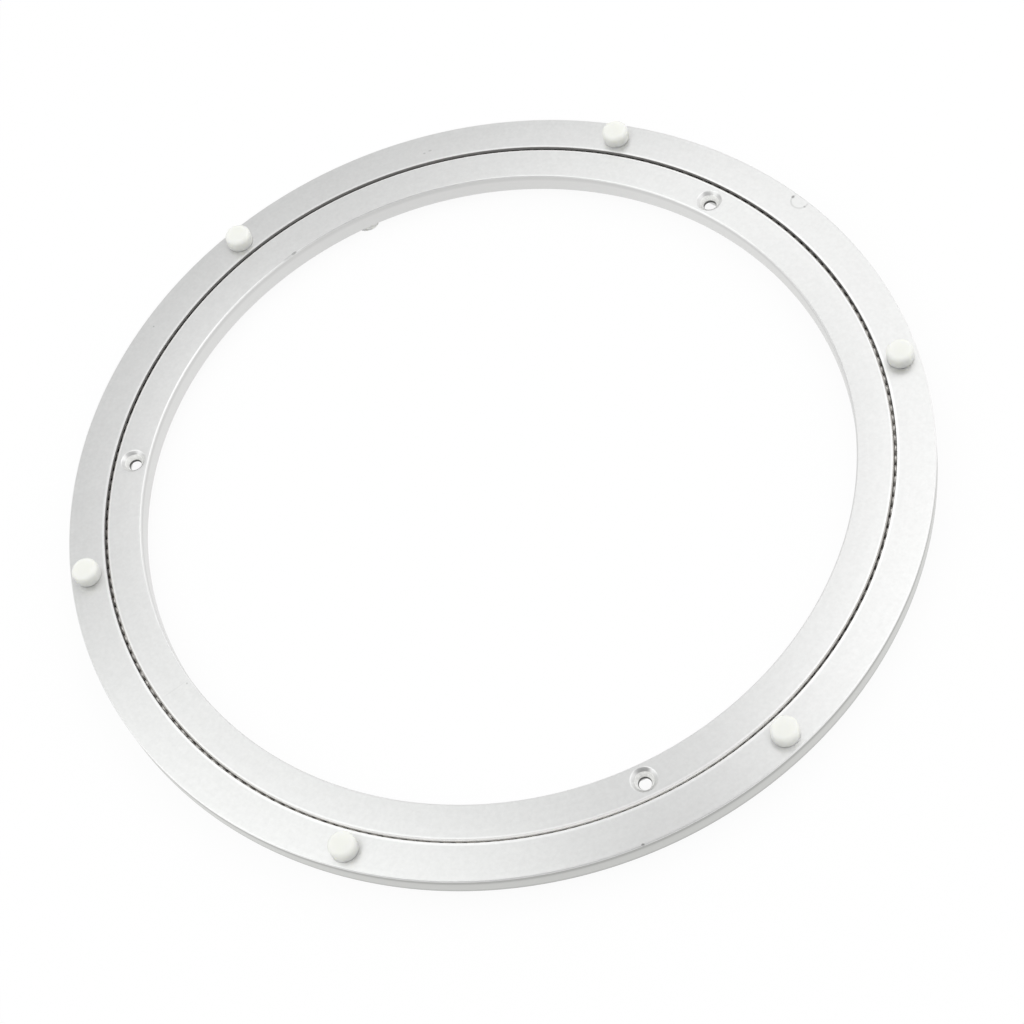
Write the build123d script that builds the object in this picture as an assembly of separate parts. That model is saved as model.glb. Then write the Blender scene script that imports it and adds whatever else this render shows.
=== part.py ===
from build123d import *
import math
import os

# Lazy susan bearing: two flat aluminium rings, one inside the other, on a full row of steel balls.
# The inner ring is screwed down and stands on three feet. The outer ring turns and carries six pads.
# Millimetres, +Z up, the surface under the feet at z = 0, the axis of rotation on Z.

# Rings, each an inverted channel with a ball race in the wall that faces the other ring
OUTER_D = 300.0
OUTER_W = 13.0  # width of the outer ring
INNER_W = 12.2  # width of the inner ring
GAP = 1.0  # between the rings
RING_H = 8.0
WEB_T = 4.0  # top of a ring, over its channel
OUTER_RIM = 2.8  # wall at the outside
INNER_RIM = 2.2  # wall at the bore
RACE_WALL = 1.0  # between race and channel
EDGE = 0.4  # chamfer of the top edges at the outside and the bore
LIP_EDGE = 0.15  # chamfer of the two top edges at the gap

# Balls and their race, a groove with two flanks at 45 degrees and a flat root
BALL_D = 3.96875  # 5/32 inch
RACE_PLAY = 0.25  # ball to flank
ROOT_RELIEF = 0.12  # what the root lies deeper than the ball needs
LOAD_PLAY = 0.35  # ball to the hole that it is loaded through
PLUG_PLAY = 0.03  # plug to that hole

# Countersunk screw holes in the inner ring
SCREWS = 3
SCREW_HOLE_D = 4.2
SCREW_SINK_D = 8.7
SINK_ANGLE = 66.0

# Pads pushed into the outer ring
PADS = 6
PAD_TURN = 18.75  # first pad past the first screw hole, at rest
PAD_D = 9.4
PAD_H = 5.0  # above the ring
PAD_EDGE = 1.0
PAD_UNDERCUT = 0.6  # chamfer where the head stands on the ring
STEM_D = 4.2
BARB_D = 5.6
BARB_H = 2.0

# Feet pushed into the inner ring's channel, midway between the screw holes
FOOT_D = 9.5
FOOT_H = 3.8  # below the ring
FOOT_EDGE = 0.9
RUBBER_PLAY = 0.05  # of pads and feet in their holes

# Heights
BOTTOM = FOOT_H
TOP = BOTTOM + RING_H
WEB_Z = TOP - WEB_T
RACE_Z = BOTTOM + RING_H / 2

# Radii
OUTER_R = OUTER_D / 2
PITCH_R = OUTER_R - OUTER_W - GAP / 2
BORE_R = PITCH_R - GAP / 2 - INNER_W
ROOT_DEPTH = BALL_D / 2 + RACE_PLAY + ROOT_RELIEF  # from the pitch circle
INNER_CHANNEL = (BORE_R + INNER_RIM, PITCH_R - ROOT_DEPTH - RACE_WALL)
OUTER_CHANNEL = (PITCH_R + ROOT_DEPTH + RACE_WALL, OUTER_R - OUTER_RIM)
HOLE_R = sum(INNER_CHANNEL) / 2  # of the screw holes and feet
PAD_R = sum(OUTER_CHANNEL) / 2

# Angles about the axis
BALLS = int(math.pi / math.asin(BALL_D / 2 / PITCH_R))  # as many as go round
SCREW_ANGLES = [360 / SCREWS * k for k in range(SCREWS)]
FOOT_ANGLES = [angle + 180 / SCREWS for angle in SCREW_ANGLES]
PAD_ANGLES = [PAD_TURN + 360 / PADS * k for k in range(PADS)]
PLUG_ANGLE = PAD_TURN - 180 / PADS  # midway between two pads


def turned(*points):
    """Solid of revolution about Z from an outline of (radius, height) points."""
    return revolve(Plane.XZ * make_face(Polyline(*points, close=True)), Axis.Z)


def moved_out(part, angle, radius):
    """A part made on the Z axis, moved to its angle and radius."""
    return Rot(0, 0, angle) * Pos(radius, 0, 0) * part


def ring_blank(rim, side):
    """A ring with its race, before its channel: side is 1 for the outer ring and -1 for the inner one."""
    lip = PITCH_R + side * GAP / 2
    root = PITCH_R + side * ROOT_DEPTH
    flanks_meet = (BALL_D / 2 + RACE_PLAY) * math.sqrt(2)  # from the ball's centre
    lip_rise = flanks_meet - GAP / 2
    root_rise = flanks_meet - ROOT_DEPTH
    return turned(
        (rim, BOTTOM),
        (rim, TOP - EDGE),
        (rim - side * EDGE, TOP),
        (lip + side * LIP_EDGE, TOP),
        (lip, TOP - LIP_EDGE),
        (lip, RACE_Z + lip_rise),
        (root, RACE_Z + root_rise),
        (root, RACE_Z - root_rise),
        (lip, RACE_Z - lip_rise),
        (lip, BOTTOM),
    )


def channel(near, far):
    """What is cut from a ring's underside, up to its web."""
    return turned((near, 0), (near, WEB_Z), (far, WEB_Z), (far, 0))


def screw_hole():
    sink_depth = (SCREW_SINK_D - SCREW_HOLE_D) / 2 / math.tan(math.radians(SINK_ANGLE / 2))
    return turned(
        (0, BOTTOM),
        (SCREW_HOLE_D / 2, BOTTOM),
        (SCREW_HOLE_D / 2, TOP - sink_depth),
        (SCREW_SINK_D / 2, TOP),
        (0, TOP),
    )


def pad_hole():
    hole = STEM_D / 2 + RUBBER_PLAY
    return turned((0, BOTTOM), (hole, BOTTOM), (hole, TOP), (0, TOP))


def loading_bar(play):
    """Radial bar at race height that fills the loading hole, from the pitch circle to past the outside."""
    bar = Cylinder((BALL_D + LOAD_PLAY) / 2 - play, OUTER_W + GAP, rotation=(0, 90, 0))
    return Rot(0, 0, PLUG_ANGLE) * Pos(PITCH_R + (OUTER_W + GAP) / 2, 0, RACE_Z) * bar


def inner_ring():
    ring = ring_blank(BORE_R, -1) - channel(*INNER_CHANNEL)
    for angle in SCREW_ANGLES:
        ring -= moved_out(screw_hole(), angle, HOLE_R)
    return ring


def outer_ring():
    ring = ring_blank(OUTER_R, 1) - channel(*OUTER_CHANNEL)
    for angle in PAD_ANGLES:
        ring -= moved_out(pad_hole(), angle, PAD_R)
    return ring - loading_bar(0)


def filler_plug():
    """Closes the loading hole: flush outside, and cut to the race's outline where the balls roll past."""
    return ring_blank(OUTER_R, 1) & loading_bar(PLUG_PLAY)


def ball_row():
    """A full row of balls. Each has twenty flat sides, with its corners on the ball's own surface."""
    golden = (1 + math.sqrt(5)) / 2
    short = BALL_D / 2 / math.hypot(1, golden)
    long = short * golden
    pairs = [(a, b) for a in (-short, short) for b in (-long, long)]
    ball = ConvexPolyhedron([p for a, b in pairs for p in ((0, a, b), (a, b, 0), (b, 0, a))])
    raised = Pos(0, 0, RACE_Z) * ball
    return Compound(children=[moved_out(raised, 360 / BALLS * k, PITCH_R) for k in range(BALLS)])


def pad():
    """Push-in bumper: a head on the ring, a stem through the web and a barb that grips under it."""
    head = TOP + PAD_H
    barb = WEB_Z - RUBBER_PLAY
    return turned(
        (0, head),
        (PAD_D / 2 - PAD_EDGE, head),
        (PAD_D / 2, head - PAD_EDGE),
        (PAD_D / 2, TOP + PAD_UNDERCUT),
        (PAD_D / 2 - PAD_UNDERCUT, TOP),
        (STEM_D / 2, TOP),
        (STEM_D / 2, barb),
        (BARB_D / 2, barb),
        (STEM_D / 2, barb - BARB_H),
        (0, barb - BARB_H),
    )


def foot():
    """Bumper whose body fills the channel up to the web, with its head against the ring's two walls."""
    body = (INNER_CHANNEL[1] - INNER_CHANNEL[0]) / 2 - RUBBER_PLAY
    return turned(
        (0, 0),
        (FOOT_D / 2 - FOOT_EDGE, 0),
        (FOOT_D / 2, FOOT_EDGE),
        (FOOT_D / 2, BOTTOM),
        (body, BOTTOM),
        (body, WEB_Z),
        (0, WEB_Z),
    )


parts = {
    "inner_ring": inner_ring(),
    "outer_ring": outer_ring(),
    "filler_plug": filler_plug(),
    "bearing_balls": ball_row(),
}
for number, angle in enumerate(FOOT_ANGLES, 1):
    parts[f"foot_{number}"] = moved_out(foot(), angle, HOLE_R)
for number, angle in enumerate(PAD_ANGLES, 1):
    parts[f"pad_{number}"] = moved_out(pad(), angle, PAD_R)

os.makedirs("parts", exist_ok=True)
for name, part in parts.items():
    export_step(part, f"parts/{name}.step")
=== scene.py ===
import math

import bmesh
import bpy
from mathutils import Matrix, Vector


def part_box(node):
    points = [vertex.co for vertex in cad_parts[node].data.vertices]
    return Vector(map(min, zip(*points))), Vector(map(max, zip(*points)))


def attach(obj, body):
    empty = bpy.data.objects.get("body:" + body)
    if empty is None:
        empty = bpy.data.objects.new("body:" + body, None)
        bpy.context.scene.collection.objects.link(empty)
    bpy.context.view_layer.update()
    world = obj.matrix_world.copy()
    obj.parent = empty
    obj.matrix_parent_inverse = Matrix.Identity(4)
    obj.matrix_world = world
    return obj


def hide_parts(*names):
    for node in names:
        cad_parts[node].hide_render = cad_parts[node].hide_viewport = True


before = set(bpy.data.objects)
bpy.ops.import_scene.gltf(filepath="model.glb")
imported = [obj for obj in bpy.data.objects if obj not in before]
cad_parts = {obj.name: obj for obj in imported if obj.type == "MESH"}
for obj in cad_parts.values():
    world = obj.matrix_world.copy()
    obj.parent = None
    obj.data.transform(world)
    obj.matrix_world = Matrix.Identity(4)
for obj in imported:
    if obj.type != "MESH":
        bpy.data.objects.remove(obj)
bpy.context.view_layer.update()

# Lazy susan bearing: two satin aluminium rings on a row of steel balls, with white rubber pads and feet.
# Sizes in millimetres, angles in degrees. +Z is up along the axis of rotation, the feet stand on z = 0.
MM = 0.001  # to the frame's metres
UP = (0, 0, 1)

# Rings, each an inverted channel with a ball race in the wall that faces the other ring
RING_LOW, RING_HIGH = (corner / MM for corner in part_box("outer_ring"))
BOTTOM, TOP = RING_LOW.z, RING_HIGH.z
RING_H = TOP - BOTTOM
OUTER_R = RING_HIGH.x
OUTLINE_R = -RING_LOW.x  # a hair less: the frame's ring is many-sided, and the turned one stays in its box
OUTER_W = 13.0  # width of the outer ring
INNER_W = 12.2  # width of the inner ring
GAP = 1.0  # between the rings
WEB_T = 4.0  # top of a ring, over its channel
OUTER_RIM = 2.8  # wall at the outside
INNER_RIM = 2.2  # wall at the bore
RACE_WALL = 1.0  # between race and channel
EDGE = 0.4  # chamfer of the top edges at the outside and the bore
EDGE_ROUND = 0.22  # where a chamfer runs into a face
BOTTOM_ROUND = 0.25
LIP_EDGE = 0.15  # chamfer of the outer ring at the gap
LIP_WORN = 0.4  # the same edge of the inner ring, broken a little further
RUNOUT = 0.07  # each lip runs out of true by this much, so the gap is wider on one side
RUNOUT_ANGLE = 52.0  # to the widest place
RUNOUT_MARGIN = 0.01  # past the lip's chamfer
RING_STEPS = 288
RING_SMOOTH = 12.0  # corners up to this angle are shaded smooth

# Balls and their race
BALL_D = 3.96875
BALL_STEPS = 10
BALL_BANDS = 6
BALL_SMOOTH = 80.0
RACE_PLAY = 0.25  # ball to flank
ROOT_RELIEF = 0.12  # what the root lies deeper than the ball needs
LOAD_PLAY = 0.35  # ball to the hole that it is loaded through
LOAD_D = BALL_D + LOAD_PLAY

# Countersunk screw holes
SCREWS = 3
SCREW_HOLE_D = 4.2
SCREW_SINK_D = 8.7
SINK_ANGLE = 66.0
SINK_LEAD = 1.15  # depth of the countersink's wider mouth, at 90 degrees
SINK_ROUND = 0.2  # where mouth, countersink and top face meet
SINK_DROP = 0.02  # the mouth's corner under the top face
FLARE_W, FLARE_H = 1.5, 0.2  # the drill past that corner, nearly level, so that the rim comes out rounded

# Rubber pads and feet
PADS = 6
PAD_TURN = 18.75  # first pad past the first screw hole, at rest
PAD_D = 9.4
PAD_H = 5.0  # above the ring
PAD_ROUND = 1.5
PAD_ROUND_STEPS = 8
PAD_UNDERCUT = 0.35  # where the head stands on the ring
PAD_UNDERCUT_STEPS = 5
PAD_HOLE_OVER = 1.0  # the drill over the top face
STEM_D = 4.2
BARB_D = 5.6
BARB_H = 2.0
BARB_ROUND = 0.2
BARB_TIP_ROUND = 0.3
FOOT_D = 9.5
FOOT_ROUND = 1.0
FOOT_ROUND_STEPS = 6
FOOT_SEAT_ROUND = 0.2  # the head's edge against the ring
RUBBER_PLAY = 0.05  # of pads and feet in their holes
RUBBER_SMOOTH = 25.0
HOLE_STEPS = 48
ROUND_STEPS = 3  # in a rounded corner, where nothing else is given
MERGE = 0.0001  # points nearer than this are one

# Places that follow from these sizes
WEB_Z = TOP - WEB_T
SINK_Z = TOP - (SCREW_SINK_D - SCREW_HOLE_D) / 2 / math.tan(math.radians(SINK_ANGLE / 2))
RACE_Z = (BOTTOM + TOP) / 2
PITCH_R = OUTER_R - OUTER_W - GAP / 2
BORE_R = PITCH_R - GAP / 2 - INNER_W
ROOT_DEPTH = BALL_D / 2 + RACE_PLAY + ROOT_RELIEF  # from the pitch circle
INNER_CHANNEL = (PITCH_R - ROOT_DEPTH - RACE_WALL, BORE_R + INNER_RIM)
OUTER_CHANNEL = (PITCH_R + ROOT_DEPTH + RACE_WALL, OUTER_R - OUTER_RIM)
HOLE_R = sum(INNER_CHANNEL) / 2  # of the screw holes and feet
PAD_R = sum(OUTER_CHANNEL) / 2
BALLS = int(math.pi / math.asin(BALL_D / 2 / PITCH_R))  # as many as go round
PLUG_ANGLE = PAD_TURN - 180 / PADS  # midway between two pads

# Wear: the half-round mark where the filler plug was staked, and a nick in the outside edge
STAKE_ANGLE = -11.0
STAKE_R = 148.1
STAKE_SIZE = 3.15
STAKE_LINE = (0.1, 0.5)  # half its line's width, where it starts to fade and where it ends
STAKE_OPEN = (0.3, 1.4)  # the same for the arc, outwards
STAKE_DARKNESS = 0.17
NICK_ANGLE = 236.5
NICK_SIZE = 0.55

# Specks and scratches on the top faces: angle, radius, half width across, half length along, darkness
SPECKS = (
    # The speck on the nick is painted shade in its cut
    (NICK_ANGLE, OUTER_R - 0.2, 0.8, 0.8, 0.5),
    (-9.8, 147.8, 0.8, 0.75, 0.45),
    (-12.2, 147.4, 0.5, 0.6, 0.3),
    (74.0, 124.3, 0.55, 1.5, 0.45),
    (75.3, 124.25, 0.4, 2.8, 0.22),
    (47.1, 142.2, 0.5, 0.9, 0.25),
    (48.0, 141.6, 0.5, 0.7, 0.25),
    (97.0, 145.5, 0.45, 0.45, 0.3),
    (162.5, 130.0, 6.0, 0.35, 0.06),
    (162.9, 125.6, 0.4, 0.4, 0.3),
)
SPECK_FADE = (0.4, 1.0)  # in shares of a speck's half width and length

# Zones of the rings' finish and of the light and shade painted on them, each by the two places between
# which it fades in or out.
# Depths are under the top faces.
FACE_DEPTH = (0.1, 0.3)  # of the faces themselves
GAP_HIGHLIGHT_BAND = (GAP / 2 + 0.5, GAP / 2 + 1.2)  # painted highlight on the faces, from the middle of the gap
WALL_DEPTH = (0.45, 0.7)  # under which the side walls begin
WALL_SHADE_DEPTH = (1.5, 3.2)  # of the band of painted shade along the top of the side walls
LOW_SHADE_DEPTH = (RING_H - 1.8, RING_H)  # painted shade low on the outside wall, whole at the bottom
OUTER_EDGE = (OUTER_R - EDGE - 0.15, OUTER_R - EDGE)
BORE_EDGE = (BORE_R + EDGE, BORE_R + EDGE + 0.15)
BORE_SIDE = (BORE_R + 0.5, BORE_R + 1.0)
RACE_REACH = (ROOT_DEPTH + 0.1, ROOT_DEPTH + 0.3)  # from the middle of the gap
RACE_TOP = (0.02, 0.1)
RACE_FOOT = (RING_H - 0.3, RING_H - 0.1)
GAP_SHADE_DEPTH = (1.3, 1.8)  # under which the gap is painted dark as shade
LIT_GAP_ANGLE = 222.0  # middle of the stretch where the gap is painted light instead of shaded
LIT_GAP_SPREAD = (0.57, 0.97)  # cosines of the angle from there, where the painted shade ends and where all is painted light
MOUTH_DEPTH = (SINK_LEAD - 0.2, SINK_LEAD + 0.1)
HOLE_SHADE_DEPTH = (2.9, 3.2)  # under which the screw holes are painted dark as shade

# Patterns, as a noise's scale
CUT_SCALE = 3.0  # lathe rings, in each millimetre
SWEEP_SCALE = 0.5  # broad ones
CLOUD_SCALE = 300.0  # this and the others, in each metre
GRAIN_SCALE = 800.0
DRILLED_SCALE = 900.0
FILM_SCALE = 420.0
DUST_SCALE = 500.0
SKIN_SCALE = 3500.0

# Colours
FACE_DARK = (0.526, 0.528, 0.523, 1)
FACE_LIGHT = (0.926, 0.928, 0.923, 1)
CHAMFER = (0.90, 0.90, 0.895, 1)
WALL = (0.665, 0.668, 0.652, 1)
# Painted shade along the top of the outside wall
WALL_SHADED = (0.48, 0.483, 0.47, 1)
# Painted shade low on the outside wall
WALL_LOW_SHADE = (0.50, 0.505, 0.49, 1)
BORE_CHAMFER = (0.84, 0.84, 0.835, 1)
BORE_WALL = (0.77, 0.77, 0.762, 1)
# Painted shade along the top of the bore wall
BORE_SHADED = (0.69, 0.69, 0.682, 1)
# The lips in the gap: the outer one painted shaded, the inner one painted lit
OUTER_LIP_SHADED = (0.32, 0.315, 0.31, 1)
INNER_LIP_LIT = (0.58, 0.56, 0.53, 1)
# Painted light on the stretch of the gap that has no painted shade
LIT_GAP = (0.93, 0.925, 0.91, 1)
# Painted shade deep in the gap
GAP_SHADE = (0.06, 0.055, 0.05, 1)
# Dark of the marks and specks; on the nick it is painted shade
DIRT_AND_SHADE = (0.04, 0.04, 0.038, 1)
SINK_DARK = (0.97, 0.97, 0.955, 1)
SINK_LIGHT = (1.0, 1.0, 0.985, 1)
SINK_MOUTH = (0.75, 0.75, 0.745, 1)
# Painted shade deep in the holes
HOLE_SHADE = (0.10, 0.10, 0.095, 1)
STEEL = (0.97, 0.965, 0.95, 1)
STEEL_GREASY = (0.88, 0.83, 0.76, 1)
RUBBER_DARK = (0.80, 0.805, 0.763, 1)
RUBBER_LIGHT = (0.85, 0.855, 0.823, 1)
FLOOR_PALE = (0.93, 0.93, 0.93, 1)
WHITE = (1, 1, 1, 1)

# Camera
VIEW_AZIMUTH = -35.0  # 0 looks along +Y
VIEW_ELEVATION = 58.108
VIEW_ROLL = -20.287
VIEW_DISTANCE = 832.3
VIEW_OFFSET = (7.333, -15.197)  # of the camera from the axis, to its right and up
SENSOR = 36.0
PICTURE_W = 1024  # pixels
FOCAL = 2442.4  # pixels
LENS = SENSOR * FOCAL / PICTURE_W

# Floor and surroundings
FLOOR_REACH = 30000.0
FLOOR_DROP = 0.02  # under the feet, so that the two faces don't lie in one plane
FLOOR_PLAIN = 0.92  # share of plain white in what the camera sees of it
WORLD_LEVEL = 0.69
DARK_LEVEL = 0.2  # of the part of the surroundings that is darker
DARK_AZIMUTH = -20.0  # from the camera's, to its right
DARK_SPREAD = (0.55, 0.8)  # cosines of the angle from there, where it starts and where it is whole
DARK_RISE = (0.40, 0.66)  # sines of the elevation, where it starts to fade and where it ends

# Softboxes: name, azimuth, elevation, distance, width and height, level, colour.
# Azimuth is counted from the camera's, to its right.
SOFTBOXES = (
    ("right", 111, 58, 1100, (1660, 830), 0.91, (1, 1, 1)),
    ("left", 272, 62, 1100, (1200, 960), 0.92, (0.985, 1.0, 0.99)),
    ("low right", 68, 24, 1300, (1300, 500), 0.5, (1, 1, 1)),
    ("edge", 113, 8, 1300, (900, 300), 0.7, (1, 1, 1)),
    ("low left", -82, 22, 1300, (900, 450), 0.8, (1, 1, 1)),
)


class Field:
    """An output of a node in a material. Arithmetic on it adds Math nodes."""

    def __init__(self, tree, socket):
        self.tree = tree
        self.socket = socket

    def node(self, kind, inputs, output=0, **settings):
        """Adds a node: its settings first, then the values or links of its inputs."""
        made = self.tree.nodes.new(kind)
        for name, value in settings.items():
            setattr(made, name, value)
        for name, value in inputs.items():
            if isinstance(value, Field):
                self.tree.links.new(value.socket, made.inputs[name])
            else:
                made.inputs[name].default_value = value
        return Field(self.tree, made.outputs[output])

    def maths(self, operation, *values):
        return self.node("ShaderNodeMath", dict(enumerate(values)), operation=operation)

    def vector(self, operation, *values, output=0):
        return self.node("ShaderNodeVectorMath", dict(enumerate(values)), output, operation=operation)

    def length(self):
        return self.vector("LENGTH", self, output="Value")

    def dot(self, way):
        return self.vector("DOT_PRODUCT", self, way, output="Value")

    def noise(self, scale, detail=2.0):
        """Noise about zero."""
        inputs = {"Vector": self, "Scale": scale, "Detail": detail}
        return self.node("ShaderNodeTexNoise", inputs) - 0.5

    def lines(self, scale):
        """Noise about zero along one number."""
        inputs = {"W": self, "Scale": scale}
        return self.node("ShaderNodeTexNoise", inputs, noise_dimensions="1D") - 0.5

    def rise(self, start, end, low=0.0, high=1.0):
        """0 up to start, then smoothly up to 1 at end."""
        inputs = {"Value": self, "From Min": start, "From Max": end, "To Min": low, "To Max": high}
        return self.node("ShaderNodeMapRange", inputs, interpolation_type="SMOOTHSTEP")

    def fade(self, start, end):
        """1 up to start, then smoothly down to 0 at end."""
        return self.rise(start, end, 1.0, 0.0)

    def mix(self, first, second):
        """From the first colour to the second, by this factor."""
        return self.node("ShaderNodeMix", {0: self, 6: first, 7: second}, 2, data_type="RGBA")

    def bump(self, strength, distance):
        inputs = {"Strength": strength, "Distance": distance * MM, "Height": self}
        return self.node("ShaderNodeBump", inputs)

    def __add__(self, other):
        return self.maths("ADD", self, other)

    def __sub__(self, other):
        return self.maths("SUBTRACT", self, other)

    def __rsub__(self, other):
        return self.maths("SUBTRACT", other, self)

    def __mul__(self, other):
        return self.maths("MULTIPLY", self, other)

    def __truediv__(self, other):
        return self.maths("DIVIDE", self, other)

    def __abs__(self):
        return self.maths("ABSOLUTE", self)

    __radd__ = __add__
    __rmul__ = __mul__


def new_material(name):
    """A material with only its Principled shader, and its object coordinates."""
    material = bpy.data.materials.new(name)
    material.use_nodes = True
    tree = material.node_tree
    shader = tree.nodes["Principled BSDF"]
    place = Field(tree, tree.nodes.new("ShaderNodeTexCoord").outputs["Object"])
    return material, shader, place


def feed(shader, **inputs):
    """Sets or links a shader's inputs, named with _ for a space."""
    for name, value in inputs.items():
        socket = shader.inputs[name.replace("_", " ")]
        if isinstance(value, Field):
            value.tree.links.new(value.socket, socket)
        else:
            socket.default_value = value


def flat(place):
    """The place seen along the axis."""
    return place.vector("MULTIPLY", place, (1, 1, 0))


def height_of(place):
    return place.dot(UP) / MM


def on_top(place, angle, radius, across=1.0, along=1.0):
    """Place within a patch of the top face, in units of its size: x out from the axis, y round it."""
    a = math.radians(angle)
    inputs = {
        "Vector": place,
        "Location": Vector((radius * math.cos(a), radius * math.sin(a), TOP)) * MM,
        "Rotation": (0, 0, a),
        "Scale": (across * MM, along * MM, MM),
    }
    return place.node("ShaderNodeMapping", inputs, vector_type="TEXTURE")


def wear_and_shade_marks(place):
    """Darkness of the staking mark, which is open to the outside, and of the specks; the speck on the nick
    is painted shade.
    """
    spot = on_top(place, STAKE_ANGLE, STAKE_R)
    line = abs(spot.length() - STAKE_SIZE)
    marks = line.fade(*STAKE_LINE) * spot.dot((1, 0, 0)).fade(*STAKE_OPEN) * STAKE_DARKNESS
    for angle, radius, across, along, darkness in SPECKS:
        spot = on_top(place, angle, radius, across, along)
        marks = marks + spot.length().fade(*SPECK_FADE) * darkness
    return marks


def gap_colour(place, radius, depth):
    """Colour of the lips and the race: the inner lip painted lighter than the outer, painted shade deep in
    the gap, and painted light on one stretch.
    """
    is_inner = radius.maths("LESS_THAN", radius, PITCH_R)
    # Painted shade deep in the gap, over lips painted lit and shaded
    shaded_gap = depth.rise(*GAP_SHADE_DEPTH).mix(is_inner.mix(OUTER_LIP_SHADED, INNER_LIP_LIT), GAP_SHADE)
    a = math.radians(LIT_GAP_ANGLE)
    way = place.vector("NORMALIZE", flat(place))
    # Painted light on one stretch of the gap
    towards_lit = way.dot((math.cos(a), math.sin(a), 0))
    return towards_lit.fade(*LIT_GAP_SPREAD).mix(LIT_GAP, shaded_gap)


def turned_aluminium():
    """Satin metal with grain and fine lathe rings, a painted highlight beside the gap, and painted shade
    along the top of the side walls and low on the outside wall.
    """
    material, shader, place = new_material("turned_aluminium")
    radius = flat(place).length() / MM
    height = height_of(place)
    depth = TOP - height
    from_gap = abs(radius - PITCH_R)
    cut = (radius + height).lines(CUT_SCALE)
    sweep = (radius + height).lines(SWEEP_SCALE)
    cloud = place.noise(CLOUD_SCALE)
    grain = place.noise(GRAIN_SCALE, detail=1.0)

    # Painted highlight: the faces are lighter in a band beside the gap
    gap_highlight = from_gap.fade(*GAP_HIGHLIGHT_BAND) * depth.fade(*FACE_DEPTH)
    tone = 0.5 + cut * 0.02 + sweep * 0.05 + cloud * 0.09 + grain * 0.2 + gap_highlight * 0.32
    metal = tone.mix(FACE_DARK, FACE_LIGHT)

    on_wall = depth.rise(*WALL_DEPTH)
    # Painted shade in a band along the top of the side walls
    wall_shade = depth.fade(*WALL_SHADE_DEPTH) + sweep * 0.3
    # Painted shade low on the outside wall, with lathe rings in it
    low_shade = depth.rise(*LOW_SHADE_DEPTH) + cut * 0.3
    outside = on_wall.mix(CHAMFER, wall_shade.mix(low_shade.mix(WALL, WALL_LOW_SHADE), WALL_SHADED))
    metal = radius.rise(*OUTER_EDGE).mix(metal, outside)
    metal = radius.fade(*BORE_EDGE).mix(metal, BORE_CHAMFER)
    metal = (on_wall * radius.fade(*BORE_SIDE)).mix(metal, wall_shade.mix(BORE_WALL, BORE_SHADED))
    # Dirt and wear marks, and painted shade on the nick
    metal = wear_and_shade_marks(place).mix(metal, DIRT_AND_SHADE)

    race = from_gap.fade(*RACE_REACH) * depth.rise(*RACE_TOP) * depth.fade(*RACE_FOOT)
    feed(
        shader,
        Base_Color=race.mix(metal, gap_colour(place, radius, depth)),
        Metallic=1 - race,
        Roughness=0.416 + cloud * 0.04,
        Anisotropic=0.74,
        Anisotropic_Rotation=0.25,
        Normal=(cut + cloud * 0.6).bump(0.12, 0.02),
    )
    return material


def drilled_aluminium():
    """Satin countersinks, with painted shade in the holes under them."""
    material, shader, place = new_material("drilled_aluminium")
    depth = TOP - height_of(place)
    cloud = place.noise(DRILLED_SCALE)
    mouth = depth.fade(*MOUTH_DEPTH)
    sink = mouth.mix((0.5 + cloud * 0.3).mix(SINK_DARK, SINK_LIGHT), SINK_MOUTH)
    feed(
        shader,
        # Painted shade in the holes under the countersinks
        Base_Color=depth.rise(*HOLE_SHADE_DEPTH).mix(sink, HOLE_SHADE),
        Metallic=0.25 + mouth * 0.75,
        Roughness=0.36 + cloud * 0.06,
        Normal=cloud.bump(0.1, 0.03),
    )
    return material


def ball_steel():
    """Polished steel with a thin brownish film of grease."""
    material, shader, place = new_material("ball_steel")
    film = 0.5 + place.noise(FILM_SCALE, detail=3.0)
    feed(
        shader,
        Base_Color=film.mix(STEEL, STEEL_GREASY),
        Metallic=0.5,
        Roughness=0.28 + film * 0.14,
    )
    return material


def white_rubber():
    """Moulded rubber, off-white, with a fine matt skin and a little dust."""
    material, shader, place = new_material("white_rubber")
    skin = place.noise(SKIN_SCALE)
    dust = place.noise(DUST_SCALE, detail=4.0)
    tone = 0.5 + dust * 0.5 + skin * 0.15
    feed(
        shader,
        Base_Color=tone.mix(RUBBER_DARK, RUBBER_LIGHT),
        Roughness=0.55 + dust * 0.15,
        Subsurface_Weight=0.8,
        Subsurface_Radius=(1.0, 1.0, 0.9),
        Subsurface_Scale=3 * MM,
        Normal=(skin + dust * 0.5).bump(0.15, 0.03),
    )
    return material


def floor_white():
    """Nearly plain white to the camera and in reflections, with the object's shadow on it."""
    material, shader, place = new_material("floor_white")
    feed(shader, Base_Color=FLOOR_PALE, Roughness=1.0, Specular_IOR_Level=0.0)
    seen = place.node("ShaderNodeLightPath", {}, "Is Camera Ray")
    for ray in ("Is Glossy Ray", "Is Transmission Ray"):
        seen = seen.maths("MAXIMUM", seen, place.node("ShaderNodeLightPath", {}, ray))
    lit = Field(place.tree, shader.outputs[0])
    plain = place.node("ShaderNodeEmission", {"Strength": 1.0})
    shown = place.node("ShaderNodeMixShader", {0: seen * FLOOR_PLAIN, 1: lit, 2: plain})
    place.tree.links.new(shown.socket, place.tree.nodes["Material Output"].inputs["Surface"])
    return material


def round_off(bm, corner, size, segments=ROUND_STEPS):
    """Rounds one corner of an outline."""
    bmesh.ops.bevel(
        bm,
        geom=[corner],
        affect="VERTICES",
        offset=size * MM,
        offset_type="OFFSET",
        segments=segments,
        profile=0.5,
        material=-1,
    )


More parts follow.
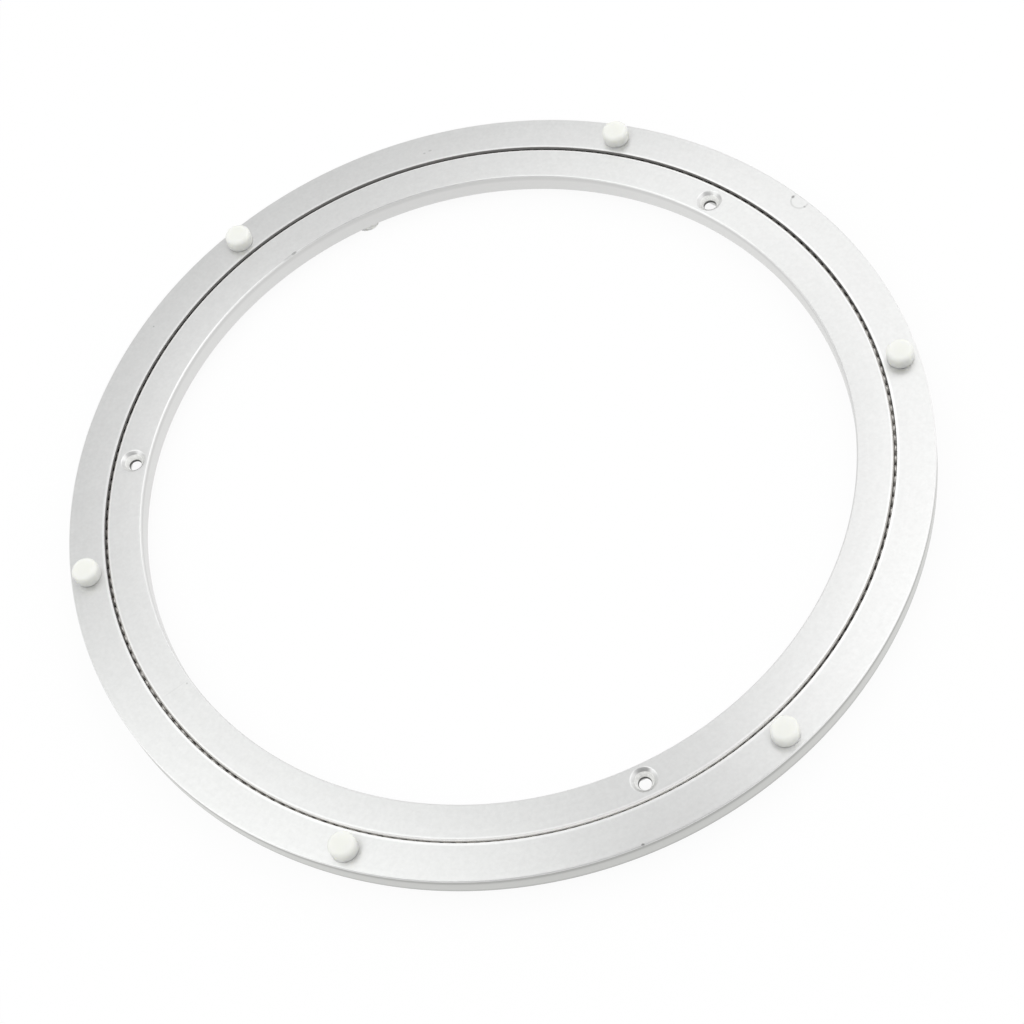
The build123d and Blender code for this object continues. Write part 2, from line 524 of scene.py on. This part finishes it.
def lathe(outline, steps, closed=False):
    """A bmesh turned about Z from corners: radius and height, then a rounded one's size and segments."""
    bm = bmesh.new()
    corners = [bm.verts.new((radius * MM, 0, height * MM)) for radius, height, *_ in outline]
    for first, second in zip(corners, corners[1:] + corners[:1] if closed else corners[1:]):
        bm.edges.new((first, second))
    for corner, (_, _, *rounding) in zip(corners, outline):
        if rounding:
            round_off(bm, corner, *rounding)
    bmesh.ops.spin(
        bm,
        geom=bm.verts[:] + bm.edges[:],
        cent=(0, 0, 0),
        axis=UP,
        angle=2 * math.pi,
        steps=steps,
        use_merge=True,
    )
    bmesh.ops.remove_doubles(bm, verts=bm.verts, dist=MERGE * MM)
    bmesh.ops.recalc_face_normals(bm, faces=bm.faces)
    return bm


def move(bm, angle, radius, height=0.0, tip=0.0):
    """Tips a bmesh about Y, then moves it out to its radius and height and round to its angle."""
    turn = Matrix.Rotation(math.radians(angle), 4, "Z")
    out = Matrix.Translation((radius * MM, 0, height * MM))
    tipped = Matrix.Rotation(math.radians(tip), 4, "Y")
    bmesh.ops.transform(bm, matrix=turn @ out @ tipped, verts=bm.verts)


def repeat(bm, count):
    """Copies of all there is, evenly round the axis."""
    bmesh.ops.spin(
        bm,
        geom=bm.verts[:] + bm.edges[:] + bm.faces[:],
        cent=(0, 0, 0),
        axis=UP,
        angle=2 * math.pi * (count - 1) / count,
        steps=count - 1,
        use_duplicate=True,
    )


def finished(name, bm, material):
    """An object of a bmesh, with one material."""
    mesh = bpy.data.meshes.new(name)
    bm.to_mesh(mesh)
    bm.free()
    mesh.materials.append(material)
    piece = bpy.data.objects.new(name, mesh)
    bpy.context.scene.collection.objects.link(piece)
    return piece


def smooth(piece, angle):
    """Smooth shading, with corners sharper than the angle kept."""
    piece.data.shade_smooth()
    piece.data.set_sharp_from_angle(angle=math.radians(angle))


def drill(piece, bm, finish):
    """Takes holes out of a piece and gives their walls a finish."""
    tool = finished("drill", bm, finish)
    cut = piece.modifiers.new("holes", "BOOLEAN")
    cut.object = tool
    cut.solver = "EXACT"
    cut.material_mode = "TRANSFER"
    blank = piece.data
    graph = bpy.context.evaluated_depsgraph_get()
    piece.data = bpy.data.meshes.new_from_object(piece.evaluated_get(graph))
    piece.data.name = blank.name
    piece.modifiers.clear()
    bpy.data.meshes.remove(blank)
    bpy.data.meshes.remove(tool.data)  # and the tool with it


def stands_for(piece, node, body):
    """Puts a piece on its body, in place of a node of the frame."""
    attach(piece, body)
    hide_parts(node)


def ring_blank(rim, side, channel, lip_edge):
    """A ring without its holes: side is 1 for the outer ring and -1 for the inner one."""
    lip = PITCH_R + side * GAP / 2
    root = PITCH_R + side * ROOT_DEPTH
    flanks_meet = (BALL_D / 2 + RACE_PLAY) * math.sqrt(2)  # from the ball's centre
    lip_rise = flanks_meet - GAP / 2
    root_rise = flanks_meet - ROOT_DEPTH
    race_wall, rim_wall = channel
    outline = (
        (rim, BOTTOM, BOTTOM_ROUND),
        (rim, TOP - EDGE, EDGE_ROUND),
        (rim - side * EDGE, TOP, EDGE_ROUND),
        (lip + side * lip_edge, TOP),
        (lip, TOP - lip_edge),
        (lip, RACE_Z + lip_rise),
        (root, RACE_Z + root_rise),
        (root, RACE_Z - root_rise),
        (lip, RACE_Z - lip_rise),
        (lip, BOTTOM, BOTTOM_ROUND),
        (race_wall, BOTTOM),
        (race_wall, WEB_Z),
        (rim_wall, WEB_Z),
        (rim_wall, BOTTOM),
    )
    bm = lathe(outline, RING_STEPS, closed=True)
    run_out(bm, side, lip_edge)
    return bm


def run_out(bm, side, lip_edge):
    """Shifts a ring's lip: towards the gap's widest place on the outer ring, away from it on the inner."""
    a = math.radians(RUNOUT_ANGLE)
    shift = Vector((math.cos(a), math.sin(a), 0)) * side * RUNOUT * MM
    reach = (GAP / 2 + lip_edge + RUNOUT_MARGIN) * MM
    lip = [vert for vert in bm.verts if abs(vert.co.xy.length - PITCH_R * MM) < reach]
    bmesh.ops.translate(bm, vec=shift, verts=lip)


def screw_holes():
    hole = SCREW_HOLE_D / 2
    rim = SCREW_SINK_D / 2
    outline = (
        (0, BOTTOM),
        (hole, BOTTOM),
        (hole, SINK_Z),
        (rim - SINK_LEAD, TOP - SINK_LEAD, SINK_ROUND),
        (rim, TOP - SINK_DROP, SINK_ROUND),
        (rim + FLARE_W, TOP + FLARE_H),
        (0, TOP + FLARE_H),
    )
    bm = lathe(outline, HOLE_STEPS)
    move(bm, 0, HOLE_R)
    repeat(bm, SCREWS)
    return bm


def pad_holes():
    hole = STEM_D / 2 + RUBBER_PLAY
    over = TOP + PAD_HOLE_OVER
    bm = lathe(((0, BOTTOM), (hole, BOTTOM), (hole, over), (0, over)), HOLE_STEPS)
    move(bm, PAD_TURN, PAD_R)
    repeat(bm, PADS)
    return bm


def loading_hole():
    """Radial hole at race height, from the race to the outside."""
    hole = LOAD_D / 2
    reach = OUTER_W + GAP
    bm = lathe(((0, 0), (hole, 0), (hole, reach), (0, reach)), HOLE_STEPS)
    move(bm, PLUG_ANGLE, PITCH_R, RACE_Z, tip=90)
    return bm


def edge_nick():
    bm = bmesh.new()
    bmesh.ops.create_icosphere(bm, subdivisions=2, radius=NICK_SIZE * MM)
    move(bm, NICK_ANGLE, OUTER_R, TOP)
    return bm


def add_inner_ring(aluminium, drilled):
    ring = finished("inner_ring_turned", ring_blank(BORE_R, -1, INNER_CHANNEL, LIP_WORN), aluminium)
    drill(ring, screw_holes(), drilled)
    smooth(ring, RING_SMOOTH)
    stands_for(ring, "inner_ring", "base")


def add_outer_ring(aluminium, drilled):
    ring = finished("outer_ring_turned", ring_blank(OUTLINE_R, 1, OUTER_CHANNEL, LIP_EDGE), aluminium)
    drill(ring, pad_holes(), drilled)
    drill(ring, loading_hole(), drilled)
    drill(ring, edge_nick(), aluminium)
    smooth(ring, RING_SMOOTH)
    stands_for(ring, "outer_ring", "turntable")


def add_balls(steel):
    bm = bmesh.new()
    bmesh.ops.create_uvsphere(bm, u_segments=BALL_STEPS, v_segments=BALL_BANDS, radius=BALL_D / 2 * MM)
    move(bm, 0, PITCH_R, RACE_Z)
    repeat(bm, BALLS)
    row = finished("ball_row_steel", bm, steel)
    smooth(row, BALL_SMOOTH)
    stands_for(row, "bearing_balls", "ball_row")


def add_pad(number, rubber):
    """Push-in bumper: a soft-edged head on the ring, a stem through the web and a barb under it."""
    head = TOP + PAD_H
    barb = WEB_Z - RUBBER_PLAY
    outline = (
        (0, head),
        (PAD_D / 2, head, PAD_ROUND, PAD_ROUND_STEPS),
        (PAD_D / 2, TOP, PAD_UNDERCUT, PAD_UNDERCUT_STEPS),
        (STEM_D / 2, TOP),
        (STEM_D / 2, barb),
        (BARB_D / 2, barb, BARB_ROUND),
        (STEM_D / 2, barb - BARB_H, BARB_TIP_ROUND),
        (0, barb - BARB_H),
    )
    bm = lathe(outline, HOLE_STEPS)
    move(bm, PAD_TURN + 360 / PADS * (number - 1), PAD_R)
    pad = finished(f"pad_{number}_moulded", bm, rubber)
    smooth(pad, RUBBER_SMOOTH)
    stands_for(pad, f"pad_{number}", "turntable")


def add_foot(number, rubber):
    """Bumper whose body fills the channel up to the web, with its head against the ring's two walls."""
    body = abs(INNER_CHANNEL[1] - INNER_CHANNEL[0]) / 2 - RUBBER_PLAY
    outline = (
        (0, 0),
        (FOOT_D / 2, 0, FOOT_ROUND, FOOT_ROUND_STEPS),
        (FOOT_D / 2, BOTTOM, FOOT_SEAT_ROUND),
        (body, BOTTOM),
        (body, WEB_Z),
        (0, WEB_Z),
    )
    bm = lathe(outline, HOLE_STEPS)
    move(bm, 180 / SCREWS + 360 / SCREWS * (number - 1), HOLE_R)
    foot = finished(f"foot_{number}_moulded", bm, rubber)
    smooth(foot, RUBBER_SMOOTH)
    stands_for(foot, f"foot_{number}", "base")


def paint(node, material):
    """Gives a frame node one material."""
    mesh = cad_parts[node].data
    mesh.materials.clear()
    mesh.materials.append(material)


def view_axes():
    """Right, up and back of the camera."""
    turn = Matrix.Rotation(math.radians(VIEW_AZIMUTH), 3, "Z")
    tilt = Matrix.Rotation(math.radians(90 - VIEW_ELEVATION), 3, "X")
    roll = Matrix.Rotation(math.radians(VIEW_ROLL), 3, "Z")
    return turn @ tilt @ roll


def add_camera():
    data = bpy.data.cameras.new("camera")
    data.sensor_width = SENSOR
    data.lens = LENS
    camera = bpy.data.objects.new("camera", data)
    axes = view_axes()
    place = Vector((0, 0, TOP)) + axes @ Vector((*VIEW_OFFSET, VIEW_DISTANCE))
    camera.matrix_world = Matrix.Translation(place * MM) @ axes.to_4x4()
    bpy.context.scene.collection.objects.link(camera)
    bpy.context.scene.camera = camera


def add_floor():
    bm = bmesh.new()
    bmesh.ops.create_grid(bm, x_segments=1, y_segments=1, size=FLOOR_REACH * MM)
    bmesh.ops.translate(bm, vec=(0, 0, -FLOOR_DROP * MM), verts=bm.verts)
    floor = finished("floor", bm, floor_white())


def heading(azimuth, elevation):
    """Unit vector to a place around the object; azimuth is counted from the camera's, to its right."""
    a = math.radians(VIEW_AZIMUTH + azimuth)
    e = math.radians(elevation)
    return Vector((math.sin(a) * math.cos(e), -math.cos(a) * math.cos(e), math.sin(e)))


def add_world():
    """Even pale surroundings, darker low down on the side that the camera looks from."""
    world = bpy.data.worlds.new("studio")
    world.use_nodes = True
    tree = world.node_tree
    sky = Field(tree, tree.nodes.new("ShaderNodeTexCoord").outputs["Generated"])
    dark = sky.dot(UP).fade(*DARK_RISE) * sky.dot(heading(DARK_AZIMUTH, 0)).rise(*DARK_SPREAD)
    level = WORLD_LEVEL - dark * (WORLD_LEVEL - DARK_LEVEL)
    background = tree.nodes["Background"]
    background.inputs["Color"].default_value = WHITE
    tree.links.new(level.socket, background.inputs["Strength"])
    bpy.context.scene.world = world


def add_softbox(name, azimuth, elevation, distance, size, level, colour):
    """A rectangular lamp that looks at the middle. Its level is its brightness, where 1 is white."""
    data = bpy.data.lights.new(name, "AREA")
    data.shape = "RECTANGLE"
    data.size, data.size_y = (side * MM for side in size)
    data.energy = math.pi * data.size * data.size_y * level
    data.color = colour
    lamp = bpy.data.objects.new(name, data)
    back = heading(azimuth, elevation)
    turn = back.to_track_quat("Z", "Y").to_matrix().to_4x4()
    lamp.matrix_world = Matrix.Translation(back * distance * MM) @ turn
    bpy.context.scene.collection.objects.link(lamp)


aluminium = turned_aluminium()
drilled = drilled_aluminium()
steel = ball_steel()
rubber = white_rubber()
add_inner_ring(aluminium, drilled)
add_outer_ring(aluminium, drilled)
add_balls(steel)
for number in range(1, PADS + 1):
    add_pad(number, rubber)
for number in range(1, SCREWS + 1):
    add_foot(number, rubber)
paint("filler_plug", aluminium)

add_camera()
add_floor()
add_world()
for softbox in SOFTBOXES:
    add_softbox(*softbox)
bpy.context.scene.view_settings.view_transform = "Standard"
